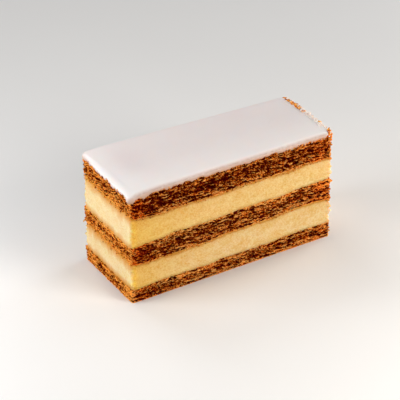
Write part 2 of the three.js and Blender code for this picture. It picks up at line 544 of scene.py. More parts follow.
class Wire:
    """A socket that takes part in Python sums; each operator adds its Math node."""

    def __init__(self, board: "Board", socket: bpy.types.NodeSocket) -> None:
        """Wrap one output socket of a board."""
        self.board = board
        self.socket = socket

    def _maths(
        self, sum_: Sum, first: "Wire | float", second: "Wire | float", clamp: bool = False
    ) -> "Wire":
        """Add one Math node.

        Args:
            sum_: what it works out.
            first: its first value.
            second: its second value.
            clamp: whether its result is kept between 0 and 1.

        Returns:
            Its result.
        """
        settings = {"operation": sum_.value, "use_clamp": clamp}
        made = self.board.node("ShaderNodeMath", settings, {0: first, 1: second})
        return Wire(self.board, made.outputs[0])

    def __add__(self, other: "Wire | float") -> "Wire":
        """Return self + other."""
        return self._maths(Sum.ADD, self, other)

    __radd__ = __add__

    def __sub__(self, other: "Wire | float") -> "Wire":
        """Return self - other."""
        return self._maths(Sum.SUBTRACT, self, other)

    def __rsub__(self, other: float) -> "Wire":
        """Return other - self."""
        return self._maths(Sum.SUBTRACT, other, self)

    def __mul__(self, other: "Wire | float") -> "Wire":
        """Return self * other."""
        return self._maths(Sum.MULTIPLY, self, other)

    __rmul__ = __mul__

    def clamped(self) -> "Wire":
        """Return self kept between 0 and 1."""
        return self._maths(Sum.ADD, self, 0.0, clamp=True)

    def stepped(self, low: float, high: float) -> "Wire":
        """Return a smooth step of self.

        Args:
            low: where the step starts, at 0.
            high: where it ends, at 1.

        Returns:
            The step.
        """
        node = self.board.node(
            "ShaderNodeMapRange",
            {"interpolation_type": "SMOOTHSTEP", "clamp": True},
            {"Value": self, "From Min": low, "From Max": high, "To Min": 0.0, "To Max": 1.0},
        )
        return Wire(self.board, node.outputs["Result"])


class Board:
    """The node tree of one material, with its Principled shader."""

    def __init__(self, name: str) -> None:
        """Start a material.

        Args:
            name: the material's name.
        """
        self.material = bpy.data.materials.new(name)
        self.material.use_nodes = True
        self.tree = self.material.node_tree
        self.shader = self.tree.nodes["Principled BSDF"]
        place = self.node("ShaderNodeTexCoord", {}, {})
        self.place = Wire(self, place.outputs["Object"])

    def feed(self, node: bpy.types.Node, inputs: dict[str | int, object]) -> None:
        """Give sockets of a node their values or links.

        Args:
            node: the node.
            inputs: a value, a colour or a wire for each socket.
        """
        for key, value in inputs.items():
            socket = node.inputs[key]
            if isinstance(value, Wire):
                self.tree.links.new(value.socket, socket)
            elif socket.type == "RGBA":
                socket.default_value = (*value, 1.0)
            else:
                socket.default_value = value

    def node(
        self, kind: str, settings: dict[str, object], inputs: dict[str | int, object]
    ) -> bpy.types.Node:
        """Add a node.

        Args:
            kind: the node's type.
            settings: its options, which are set first; "stops" gives a ramp's places and colours.
            inputs: values or links of its sockets.

        Returns:
            The node.
        """
        node = self.tree.nodes.new(kind)
        for key, value in settings.items():
            if key == "stops":
                ramp = node.color_ramp
                while len(ramp.elements) < len(value):
                    ramp.elements.new(0.5)
                for element, (position, colour) in zip(ramp.elements, value):
                    element.position = position
                    element.color = (*colour, 1.0)
            else:
                setattr(node, key, value)
        self.feed(node, inputs)
        return node

    def mark(self, name: str) -> Wire:
        """Return a value that the mesh keeps on its points."""
        return Wire(self, self.node("ShaderNodeAttribute", {"attribute_name": name}, {}).outputs["Fac"])

    def stretched(self, size: Sizes) -> Wire:
        """Return places on the piece in units of their own.

        Args:
            size: how many millimetres the unit is along each axis.

        Returns:
            The places.
        """
        scale = tuple(1 / (MM * s) for s in size)
        node = self.node("ShaderNodeMapping", {}, {"Vector": self.place, "Scale": scale})
        return Wire(self, node.outputs[0])

    def cloud(self, size: Sizes, detail: float = 2.0, roughness: float = 0.5) -> Wire:
        """Return noise from 0 to 1.

        Args:
            size: its lumps' size in millimetres.
            detail: how many times finer lumps are laid over them.
            roughness: how strong those are.

        Returns:
            The noise.
        """
        node = self.node(
            "ShaderNodeTexNoise",
            {},
            {"Vector": self.stretched(size), "Scale": 1.0, "Detail": detail, "Roughness": roughness},
        )
        return Wire(self, node.outputs["Fac"])

    def ramp(self, value: Wire, stops: Sequence[tuple[float, Colour]]) -> Wire:
        """Return the colour of a ramp at a value."""
        node = self.node("ShaderNodeValToRGB", {"stops": stops}, {"Fac": value})
        return Wire(self, node.outputs["Color"])

    def mixed(
        self, share: Wire | float, first: Wire | Colour, second: Wire | Colour, blend: Blend = Blend.MIX
    ) -> Wire:
        """Mix two colours.

        Args:
            share: how much of the second is taken.
            first: the first colour.
            second: the second colour.
            blend: the way they are mixed.

        Returns:
            The mix.
        """
        settings = {"data_type": "RGBA", "blend_type": blend.value}
        return Wire(self, self.node("ShaderNodeMix", settings, {0: share, 6: first, 7: second}).outputs[2])

    def times(self, share: Wire, colour: Wire, factor: Colour) -> Wire:
        """Multiply a colour by another where a mark asks for it.

        Args:
            share: how much of the product is taken.
            colour: the colour.
            factor: what multiplies it.

        Returns:
            The new colour.
        """
        return self.mixed(share, colour, self.mixed(1.0, colour, factor, Blend.MULTIPLY))

    def bumped(self, height: Wire, distance: float, strength: float = 1.0) -> Wire:
        """Return the normal of a relief.

        Args:
            height: the relief, from 0 to 1.
            distance: its full height in millimetres.
            strength: how much of it shows.

        Returns:
            The normal.
        """
        inputs = {"Height": height, "Distance": distance * MM, "Strength": strength}
        return Wire(self, self.node("ShaderNodeBump", {}, inputs).outputs["Normal"])

    def done(self, inputs: dict[str | int, object]) -> bpy.types.Material:
        """Feed the shader and return the material."""
        self.feed(self.shader, inputs)
        return self.material


@dataclass(frozen=True)
class PastryFinish:
    """Baked puff pastry: golden leaf edges, toasted crusts, hollows drawn dark as painted shade, and painted
    light on its faces.
    """

    pale: Colour = (1.0, 0.59, 0.16)
    golden: Colour = (0.86, 0.235, 0.003)
    toasted: Colour = (0.34, 0.024, 0.0004)
    # The darkest colour is both toasted crust and the painted shade that fills the hollows.
    burnt_and_hollow_shade: Colour = (0.075, 0.001, 0.0001)
    glaze: Colour = (0.88, 0.80, 0.74)
    painted_shade_long_face: Colour = (0.86, 0.76, 0.75)  # painted light and shade: what multiplies the colour of the long faces, drawn shaded, and of the ends, drawn lit
    painted_light_end_face: Colour = (1.0, 0.81, 0.55)
    painted_glow_tint: Colour = (1.06, 0.70, 0.38)  # painted glow: what multiplies it near the ends of the long faces

    def made(self) -> bpy.types.Material:
        """Return the material."""
        board = Board("flaky pastry")
        hollow = board.mark("hollow")
        leaf = board.cloud((2.6, 3.0, 0.42), detail=3.0, roughness=0.6)
        speck = board.cloud((0.95, 1.8, 0.4), detail=2.0, roughness=0.6)
        patch = board.cloud((9.0, 7.0, 4.0))
        # The hollow mark lowers the tone as painted shade, and the end mark, the ends' painted light,
        # strengthens its contrast.
        mixed = board.mark("tone") * 0.45 + leaf * 1.7 + speck * 2.8 + patch * 0.4 - 2.65 - hollow * 0.4
        tone = (mixed * (board.mark("end") * 0.55 + 1.0) + 0.45).clamped()
        surface = board.ramp(
            tone,
            [(0.0, self.burnt_and_hollow_shade), (0.2, self.toasted), (0.42, self.golden), (0.8, self.pale)],
        )
        # Painted light: the ends take a lit copy of the colour and the long faces a shaded one.
        face = board.mixed(board.mark("end"), self.painted_shade_long_face, self.painted_light_end_face)
        plain = board.mixed(1.0, surface, face, Blend.MULTIPLY)
        # Painted glow: the warm mark tints the colour near the ends of the long faces.
        baked = board.times(board.mark("warm"), plain, self.painted_glow_tint)
        # Painted shade: the hollow mark darkens the hollows towards the darkest colour.
        dark = board.mixed(hollow.stepped(0.12, 0.6), baked, self.burnt_and_hollow_shade)
        colour = board.mixed(board.mark("glaze"), dark, self.glaze)
        relief = board.cloud((0.28, 0.28, 0.16), detail=2.0)
        return board.done(
            {
                "Base Color": colour,
                "Roughness": speck * 0.3 + 0.4,
                "Specular IOR Level": 0.02,
                "Subsurface Weight": 0.04,
                "Subsurface Radius": (1.0, 0.3, 0.08),
                "Subsurface Scale": 0.8 * MM,
                "Normal": board.bumped(relief, 0.14, 0.8),
            }
        )


@dataclass(frozen=True)
class CustardFinish:
    """Set custard: warm cream, fine grained, stained and in painted shade where crust lies on it, and in
    painted light at its ends and corners.
    """

    cream: Colour = (0.82, 0.625, 0.32)
    yolk: Colour = (0.73, 0.42, 0.10)
    stain: Colour = (0.57, 0.235, 0.010)
    stain_and_shade_end: Colour = (0.68, 0.25, 0.004)
    deep: Colour = (1.02, 0.86, 0.27)  # painted glow: what multiplies it where light is drawn glowing through it
    light: Colour = (1.02, 1.085, 1.2)  # painted light: what multiplies it at the ends
    lit: Colour = (1.17, 1.27, 1.4)  # painted highlight: what multiplies it at the front left corner

    def made(self) -> bpy.types.Material:
        """Return the material."""
        board = Board("set custard")
        cloud = board.cloud((7.0, 7.0, 4.0), detail=2.0)
        grainy = board.cloud((0.9, 0.9, 0.7), detail=3.0, roughness=0.7)
        # The end mark is painted light: the ends are drawn paler and less mottled.
        mottled = (cloud * 1.6 + grainy * 3.8 - 2.3).clamped() * (1.0 - board.mark("end") * 0.5)
        plain = board.mixed(mottled, self.cream, self.yolk)
        paint = board.times(board.mark("end"), plain, self.light)
        # Painted glow along the long faces and a painted highlight at the front left corner.
        glowing = board.times(board.mark("glow"), paint, self.deep)
        glowing = board.times(board.mark("corner"), glowing, self.lit)
        # Stained and in painted shade beside the pastry sheets.
        under = board.mark("stain")
        uneven = under + (board.cloud((2.2, 2.2, 1.4)) - 0.5) * 0.5 * under
        fleck = board.cloud((1.0, 1.0, 0.7), detail=1.0).stepped(0.64, 0.72) * 0.3
        stain = board.mixed(board.mark("end"), self.stain, self.stain_and_shade_end)
        colour = board.mixed((uneven + fleck).clamped(), glowing, stain)
        relief = grainy * 0.7 + board.cloud((0.3, 0.3, 0.3)) * 0.3
        return board.done(
            {
                "Base Color": colour,
                "Roughness": grainy * 0.3 + 0.38,
                "Specular IOR Level": 0.4,
                "Subsurface Weight": 0.6,
                "Subsurface Radius": (1.0, 0.48, 0.16),
                "Subsurface Scale": 3.2 * MM,
                "Normal": board.bumped(relief, 0.4, 1.0),
            }
        )


@dataclass(frozen=True)
class FondantFinish:
    """Poured fondant: satin white, blushed where it is thin over the pastry, and in painted shade on its
    rim's side and parts of its top.
    """

    white: Colour = (0.94, 0.885, 0.875)
    shade: Colour = (0.81, 0.725, 0.725)
    blush_and_shade: Colour = (0.585, 0.43, 0.37)
    soaked: Colour = (0.52, 0.25, 0.11)  # along the edge of the lip

    def made(self) -> bpy.types.Material:
        """Return the material."""
        board = Board("white fondant")
        cloud = board.cloud((16.0, 12.0, 8.0))
        # Painted shade: the level mark dulls the top from white towards shade.
        body = board.mixed((board.mark("level") + cloud * 0.25 - 0.1).clamped(), self.white, self.shade)
        # The thin mark blushes the side where the pastry shows through and paints shade on the rim below its
        # crease.
        thin = board.mark("thin")
        uneven = (thin * (board.cloud((1.6, 1.6, 1.0)) * 0.9 + 0.5)).clamped()
        colour = board.mixed(uneven, body, self.blush_and_shade)
        colour = board.mixed((thin - 1.0).clamped(), colour, self.soaked)
        relief = board.cloud((3.0, 3.0, 3.0)) * 0.6 + board.cloud((0.5, 0.5, 0.5)) * 0.12
        return board.done(
            {
                "Base Color": colour,
                "Roughness": cloud * 0.14 + 0.3,
                "Specular IOR Level": 0.2,
                "Subsurface Weight": 0.5,
                "Subsurface Radius": (1.0, 0.72, 0.6),
                "Subsurface Scale": 1.3 * MM,
                "Coat Weight": 0.08,
                "Coat Roughness": 0.3,
                "Normal": board.bumped(relief, 0.09, 0.5),
            }
        )


@dataclass(frozen=True)
class TableFinish:
    """A plain pale tabletop."""

    pale: Colour = (0.88, 0.875, 0.87)

    def made(self) -> bpy.types.Material:
        """Return the material."""
        board = Board("pale table")
        faint = board.cloud((60.0, 60.0, 60.0))
        colour = board.mixed(faint * 0.08, self.pale, (0.7, 0.69, 0.68))
        return board.done({"Base Color": colour, "Roughness": 0.8, "Specular IOR Level": 0.2})


# ---------------------------------------------------------------------------------------------
# Layers
# ---------------------------------------------------------------------------------------------


@dataclass
class PastrySheet:
    """One baked sheet of puff pastry: leaves and hollows that show on its cut faces."""

    name: str
    node: str
    low: Joint
    high: Joint
    seed: int
    columns: int = 860
    row_height: float = 0.15
    leaf_pitch: float = 2.1
    leaf_wander: float = 0.8
    leaf_reach: float = 0.5
    pore_length: float = 3.1
    pore_height: float = 1.1
    hollow_depth: float = 2.2
    crumb: float = 0.15
    swell: float = 0.2
    arris: float = 0.2  # how far its upper and lower edges are worn back
    foot: Pair = (0.4, 0.25)  # height and inset of its worn foot on the table
    shards: int = 170
    edge_crumbs: int = 460
    trim: float = 0.3  # how far its edges stay inside the joints
    painted_long_face_light: float = 0.0  # painted light on its long faces, below 0 for painted shade: how much paler than usual they are drawn
    right_corner_painted_highlight: float = 0.6  # painted highlight: how much paler it is beside its right corners
    edge_glow: float = 0.3  # how much paler it is beside its upper and lower edges
    left_corner_painted_highlight: float = 0.5  # painted highlight: how much paler it is at the front left corner
    # How strong the painted glow is near its left and right ends.
    painted_glow_left: float = 1.0
    painted_glow_right: float = 0.85
    left_shade: float = 0.2  # how much darker the left part of its long faces is
    end_flakes: tuple[tuple[float, float, float], ...] = ()  # y, share of the way up and reach
    core: float = 0.5  # share of the way up where it is baked darkest
    core_spread: float = 0.11
    core_depth: float = 0.4
    heart: float = 0.08  # how much darker the middle of its ends is
    crest: bool = False
    # hollow carries painted shade, warm a painted glow and end the ends' painted light; tone is partly
    # painted light.
    marks: ClassVar[tuple[str, ...]] = ("hollow", "warm", "glaze", "tone", "end")
    noise_step: ClassVar[float] = 11.3  # how far apart in the noise two sheets lie
    drift_size: ClassVar[Sizes] = (8.0, 6.0, 4.0)  # of the leaves' long waves
    quiver: ClassVar[float] = 0.35
    quiver_size: ClassVar[Sizes] = (2.2, 1.6, 1.5)
    slide: ClassVar[float] = 1.1  # how far the hollows stray along the leaves
    slide_size: ClassVar[Sizes] = (2.0, 2.0, 0.9)
    pore_wall: ClassVar[Range] = (0.05, 0.3)  # how a hollow deepens away from its wall
    pore_share: ClassVar[Range] = (-0.3, 0.1)  # between which values a cell turns hollow
    gap_size: ClassVar[Pair] = (4.2, 3.0)  # of the parted stretches between leaves
    gap_share: ClassVar[Range] = (-0.2, 0.2)
    gap_wall: ClassVar[Range] = (0.55, 0.9)
    gap_depth: ClassVar[float] = 0.9
    crumb_size: ClassVar[Sizes] = (0.55, 0.55, 0.42)
    fine_size: ClassVar[Sizes] = (0.3, 0.3, 0.22)
    swell_size: ClassVar[Sizes] = (6.0, 6.0, 6.0)
    edge_reach: ClassVar[float] = 0.8  # of the paler band along its edges
    corner_reach: ClassVar[float] = 2.5
    left_reach: ClassVar[float] = 1.6
    shade_reach: ClassVar[Range] = (8.0, 22.0)  # from the left end
    painted_glow_reach: ClassVar[tuple[float, float, float]] = (3.0, 15.0, 18.0)  # of the painted glow: start, left stop, right stop
    end_painted_light: ClassVar[float] = 0.27  # painted light: how much paler its ends are
    heart_reach: ClassVar[Range] = (0.6, 3.4)  # from its edges
    relief_reach: ClassVar[Range] = (-0.3, 0.6)  # where the relief starts and is full beside an edge
    arris_reach: ClassVar[float] = 0.5
    hollow_reach: ClassVar[float] = 0.3
    flat_marks: ClassVar[tuple[float, ...]] = (0.1, 0.3, 0.0, 0.5, 1.0)  # of its underside and top; the hollow, warm and end values there are painted shade, glow and light
    insets_under: ClassVar[tuple[float, ...]] = (5.0, 2.5, 1.0, 0.35)  # of its rows from the cut face
    insets_over: ClassVar[tuple[float, ...]] = (0.35, 1.0, 2.5, 5.0)
    insets_crest: ClassVar[tuple[float, ...]] = (
        0.25, 0.5, 0.8, 1.1, 1.4, 1.7, 2.0, 2.3, 2.7, 3.2, 4.0, 5.0,
    )
    shard_level: ClassVar[Range] = (0.08, 0.92)  # share of the way up
    shard_level_crest: ClassVar[float] = 0.8  # the most of it under the crest
    shard_length: ClassVar[Range] = (1.2, 4.6)
    shard_reach: ClassVar[Range] = (0.15, 0.5)
    shard_root: ClassVar[float] = 0.35  # how deep it stands in the leaf behind it
    shard_thickness: ClassVar[Range] = (0.13, 0.24)
    shard_pitch: ClassVar[Range] = (-0.3, 0.3)
    shard_roll: ClassVar[Range] = (-0.12, 0.12)
    shard_curl: ClassVar[Range] = (-0.15, 0.2)
    shard_tone: ClassVar[Range] = (0.3, 1.1)
    flake_length: ClassVar[float] = 3.4
    flake_root: ClassVar[float] = 0.5
    flake_thickness: ClassVar[float] = 0.42
    flake_curl: ClassVar[float] = 0.25
    crumb_radius: ClassVar[Peaked] = (0.12, 0.45, 0.2)
    crumb_stands: ClassVar[Range] = (-0.2, 0.1)
    crumb_stray: ClassVar[Range] = (-0.3, 0.3)
    crumb_spill: ClassVar[float] = 0.9  # how far down crumbs hang, and as much again at the ends
    crumb_tone: ClassVar[Range] = (0.0, 0.8)

    def leaf_at(self, x: float, y: float, height: float) -> tuple[float, float, float]:
        """Return how far the cut face stands out at a place, how hollow it is and how pale.

        Args:
            x: place along the slice.
            y: place across the slice.
            height: height above the sheet's underside.

        Returns:
            How far the surface stands out, below 0 in a hollow, the hollow's share, and the
            paleness of the leaf.
        """
        far = self.noise_step * self.seed
        drift = self.leaf_wander * grained(x, y, height, self.drift_size, far)
        drift += self.quiver * grained(x, y, height, self.quiver_size, -far)
        slide = self.slide * grained(x, y, height, self.slide_size, 3 * far)
        place = (
            (x + slide) / self.pore_length,
            (y + slide) / (0.95 * self.pore_length),
            (height + drift) / self.pore_height + far,
        )
        # Each cell is a leaf's end or a hollow, and its middle draws the value that is its own.
        spans, middles = noise.voronoi(place)
        kind = middles[0] * 3.17
        own = grain(kind.x, kind.y, kind.z)
        room = 1 - abs(2 * height / self.thickness - 1) ** 14  # no hollow breaks through an edge
        centred = 1 - abs(2 * height / self.thickness - 0.9)
        walled = eased(*self.pore_wall, spans[1] - spans[0])
        pore = walled * eased(*self.pore_share, own + 0.2 * centred) * room
        level = (height + drift) / self.leaf_pitch
        leaf = math.floor(level + 0.5)
        from_leaf = 2 * abs(level - leaf)
        along, across = self.gap_size
        gap = grain(x / along + 7.1 * math.floor(level), y / across, far)
        parted = eased(*self.gap_share, gap) * room
        hollow = max(pore, self.gap_depth * parted * eased(*self.gap_wall, from_leaf))
        shape = grained(x, y, height, self.crumb_size, far)
        fine = grained(x, y, height, self.fine_size, -far)
        out = (
            self.leaf_reach * own * (1 - pore)
            - self.hollow_depth * hollow
            + self.crumb * shape
            + 0.5 * self.crumb * fine
            + self.swell * grained(x, y, height, self.swell_size, -far)
        )
        tone = 0.62 - 0.2 * centred + 0.9 * own + 0.5 * shape + 0.4 * fine + 0.5 * (0.5 - from_leaf)
        from_core = (height / self.thickness - self.core) / self.core_spread
        tone -= self.core_depth * math.exp(-(from_core**2))
        return out, eased(0.15, 1.2, -out), tone

    @property
    def thickness(self) -> float:
        """Return the sheet's mean thickness."""
        return self.high.height - self.low.height

    def top_at(self, x: float, y: float) -> float:
        """Return the height of the sheet's upper edge.

        Args:
            x: place along the slice.
            y: place across the slice.

        Returns:
            The height, which is the crest's where the crest stands.
        """
        if not self.crest:
            return self.high.at(x, y) + EDGE.at(self.high, x, y) - self.trim
        stands = eased(Crest.start, Crest.full, x)
        return between(self.high.at(x, y) - self.trim, Crest.height_at(x, y), stands)

    def bottom_at(self, x: float, y: float) -> float:
        """Return the height of the sheet's lower edge.

        Args:
            x: place along the slice.
            y: place across the slice.

        Returns:
            The height, which is above 0 where the lowest sheet lifts off the table.
        """
        if self.low is BASE:
            lift = 0.22 * max(0.0, grain(x / 2.2, y / 2.2, 4.0))
            return lift + 0.12 * max(0.0, grain(x / 0.8, y / 0.8, 7.0))
        return self.low.at(x, y) + EDGE.at(self.low, x, y) + self.trim

    def _rows(self) -> list[tuple[float, float]]:
        """List the rows of points from the underside over the wall to the top.

        Returns:
            Each row's share of the way up and its inset from the cut face.
        """
        wall = round(self.thickness / self.row_height)
        under = [(0.0, inset) for inset in self.insets_under]
        over = [(1.0, inset) for inset in (self.insets_crest if self.crest else self.insets_over)]
        return under + [(i / wall, 0.0) for i in range(wall + 1)] + over

    def _place(self, rows: list[tuple[float, float]]) -> Callable[[Station, int], Placed]:
        """Return the function that shapes the sheet.

        Args:
            rows: each row's share of the way up and its inset.

        Returns:
            The function, which gives a station and a row their place and marks.
        """

        def place(station: Station, row: int) -> Placed:
            """Shape one point.

            Args:
                station: its place on the outline.
                row: its row.

            Returns:
                Its place and its marks.
            """
            level, inset = rows[row]
            half_length, half_width = Plan.length / 2, Plan.width / 2
            x = station.x * (1 - inset / half_length)
            y = station.y * (1 - inset / half_width)
            low, high = self.bottom_at(x, y), self.top_at(x, y)
            z = between(low, high, level)
            from_edge = min(level, 1 - level) * self.thickness
            if inset:
                lump = 0.0
                hollow, warm, glaze, tone, end = self.flat_marks
                if self.crest and level:
                    stands = eased(Crest.start, Crest.full, x)
                    lump = stands * Crest.lump_at(x, y)
                    glaze = stands * Crest.glaze_at(x, y)
                return Vector((x, y, z + lump)), (hollow, warm, glaze, tone + lump, end)
            out, hollow, tone = self.leaf_at(x, y, level * self.thickness)
            long_side = 1 - station.out_x**2
            # Painted highlight beside the right corners, and painted shade on the left part of the long
            # faces.
            tone += long_side * (
                self.edge_glow * math.exp(-from_edge / self.edge_reach)
                + self.right_corner_painted_highlight * math.exp((x - half_length) / self.corner_reach)
                - self.left_shade * (1 - eased(*self.shade_reach, x + half_length))
            )
            # Painted highlight round the front left corner.
            from_corner = math.hypot(x + half_length, y + half_width * Plan().narrowed(x))
            tone += self.left_corner_painted_highlight * math.exp(-((from_corner / self.left_reach) ** 2))
            # Painted glow near the ends of the long faces.
            warm_start, left_stop, right_stop = self.painted_glow_reach
            warm = long_side * max(
                self.painted_glow_right * (1 - eased(warm_start, right_stop, half_length - x)),
                self.painted_glow_left * (1 - eased(warm_start, left_stop, x + half_length)),
            )
            # Painted light on the ends, less of it in their middle.
            end_painted_light = self.end_painted_light - self.heart * eased(*self.heart_reach, from_edge)
            out *= eased(*self.relief_reach, from_edge)
            out += flared(station.out_x, z)
            out -= self.arris * (1 - eased(0.0, self.arris_reach, from_edge))
            foot_height, foot_inset = self.foot
            if self.low is BASE and z < foot_height:
                out -= foot_inset * (1 - z / foot_height)
            # The tone mark carries painted light on the ends and the long faces' painted light, which is
            # painted shade on the top sheet; the hollow mark is painted shade, weaker on the ends.
            return (
                Vector((x + station.out_x * out, y + station.out_y * out, z)),
                (
                    hollow * eased(0.0, self.hollow_reach, from_edge) * (1 - 0.3 * station.out_x**2),
                    warm,
                    0.0,
                    tone + between(self.painted_long_face_light, end_painted_light, station.out_x**2),
                    Plan.painted_end_light(station),
                ),
            )

        return place

    def _shards(self, mesh: bmesh.types.BMesh, stations: list[Station], rng: random.Random) -> None:
        """Add the thin flakes that stand in the cut faces.

        Args:
            mesh: the mesh that they join.
            stations: places round the outline.
            rng: draws their places and shapes.
        """
        lowest, highest = self.shard_level
        for number in range(self.shards):
            station = stations[rng.randrange(len(stations) - 1)]
            level = rng.uniform(lowest, self.shard_level_crest if self.crest else highest)
            z = between(self.bottom_at(station.x, station.y), self.top_at(station.x, station.y), level)
            out = self.leaf_at(station.x, station.y, level * self.thickness)[0]
            length = rng.uniform(*self.shard_length)
            reach = rng.uniform(*self.shard_reach)
            outward = Vector((station.out_x, station.out_y, 0.0))
            along = Vector((-station.out_y, station.out_x, 0.0))
            lift = Vector((0.0, 0.0, 1.0))
            root = Vector((station.x, station.y, z)) + outward * (min(out, 0.0) - self.shard_root)
            axes = Matrix((along, outward, lift)).transposed().to_4x4()
            pitch, roll = rng.uniform(*self.shard_pitch), rng.uniform(*self.shard_roll)
            tilt = Matrix.Rotation(pitch, 4, "X") @ Matrix.Rotation(roll, 4, "Y")
            add_shard(
                mesh,
                (
                    length,
                    reach + self.shard_root - min(out, 0.0) * 0.6,
                    rng.uniform(*self.shard_thickness),
                ),
                Matrix.Translation(root) @ axes @ tilt,
                rng.uniform(*self.shard_curl),
                rng,
                # The end mark gives them the ends' painted light.
                {"tone": rng.uniform(*self.shard_tone), "end": station.out_x**2},
                (number, self.shards),
            )

    def _end_flakes(self, mesh: bmesh.types.BMesh, rng: random.Random) -> None:
        """Add the large flakes that stick out at the right end.

        Args:
            mesh: the mesh that they join.
            rng: draws their ragged edges.
        """
        right = Plan.length / 2
        for y, level, reach in self.end_flakes:
            z = between(self.bottom_at(right, y), self.top_at(right, y), level)
            place = Matrix.Translation(Vector((right - self.flake_root, y, z)))
            add_shard(
                mesh,
                (self.flake_length, reach + self.flake_root, self.flake_thickness),
                place @ Matrix.Rotation(-math.pi / 2, 4, "Z"),
                self.flake_curl,
                rng,
                # They take the ends' painted light and some painted glow.
                {"tone": 0.9, "end": 1.0, "warm": 0.6},
                (0, self.shards),
            )

    def _edge_crumbs(self, mesh: bmesh.types.BMesh, stations: list[Station], rng: random.Random) -> None:
        """Add the crumbs that lie along the joints.

        Args:
            mesh: the mesh that they join.
            stations: places round the outline.
            rng: draws their places and shapes.
        """
        for _ in range(self.edge_crumbs):
            station = stations[rng.randrange(len(stations) - 1)]
            at_bottom = self.crest or (rng.random() < 0.5 and self.low is not BASE)
            edge = self.bottom_at if at_bottom else self.top_at
            spill = self.crumb_spill + self.crumb_spill * station.out_x**2
            lowest, highest = self.crumb_stray
            stray = rng.triangular(-spill, highest, 0.0) if at_bottom else rng.uniform(lowest, highest)
            z = edge(station.x, station.y) + stray
            size = rng.triangular(*self.crumb_radius)
            stands = rng.uniform(*self.crumb_stands)
            add_crumb(
                mesh,
                Vector((station.x + station.out_x * stands, station.y + station.out_y * stands, z)),
                size,
                rng,
                # The end mark gives them the ends' painted light.
                {"tone": rng.uniform(*self.crumb_tone), "end": station.out_x**2},
                detail=1,
            )

    def built(self, finish: bpy.types.Material) -> bpy.types.Object:
        """Build the sheet.

        Args:
            finish: the pastry's material.

        Returns:
            The sheet.
        """
        rng = random.Random(SEED + self.seed)
        stations = Plan().stations(self.columns)
        rows = self._rows()
        mesh = wrapped_skin(stations, len(rows), self._place(rows), self.marks)
        bits = loose_bits(self.marks)
        self._shards(bits, stations, rng)
        self._end_flakes(bits, rng)
        self._edge_crumbs(bits, stations, rng)
        bmesh.ops.recalc_face_normals(bits, faces=bits.faces)
        join(mesh, bits)
        return finished(self.name, mesh, finish, self.node, smooth=False)


class Crest:
    """The crumbly rim of pastry that stands up beside the icing at the right end."""

    start: ClassVar[float] = 51.6
    full: ClassVar[float] = 53.2
    height: ClassVar[float] = 58.15
    varies: ClassVar[float] = 0.7
    lump: ClassVar[float] = 0.3
    sinks: ClassVar[float] = 0.5  # how much lower it is under the icing
    varies_size: ClassVar[float] = 2.7
    icing_thins: ClassVar[Range] = (5.0, -3.0)  # across the slice, towards the front
    icing_stops: ClassVar[Range] = (-16.5, -18.5)  # beside the front right corner
    tooth: ClassVar[float] = 0.15
    tooth_size: ClassVar[float] = 0.8

    @classmethod
    def iced_at(cls, y: float) -> float:
        """Return how much the icing covers it there, which it does along the front half."""
        return eased(*cls.icing_thins, y) - eased(*cls.icing_stops, y)

    @classmethod
    def height_at(cls, x: float, y: float) -> float:
        """Return the height of the rim's top edge at a place.

        Args:
            x: place along the slice.
            y: place across the slice.

        Returns:
            The height.
        """
        wave = grain(y / cls.varies_size, x / cls.varies_size, 5.0)
        level = cls.height - cls.sinks * cls.iced_at(y) + cls.varies * wave
        return level + cls.tooth * grain(y / cls.tooth_size, x / cls.tooth_size, 2.0)

    @classmethod
    def lump_at(cls, x: float, y: float) -> float:
        """Return how far its top swells there."""
        return cls.lump * (0.6 + grain(x / 1.1, y / 1.1, 8.0)) + 0.12 * grain(x / 0.5, y / 0.5, 3.0)

    @classmethod
    def glaze_at(cls, x: float, y: float) -> float:
        """Return how much icing has run over it there."""
        front = cls.iced_at(y)
        return eased(-0.25, 0.25, grain(x / 1.6, y / 1.9, 1.5) + 0.75 * front - 0.35 - (x - 53.9) * 0.25)


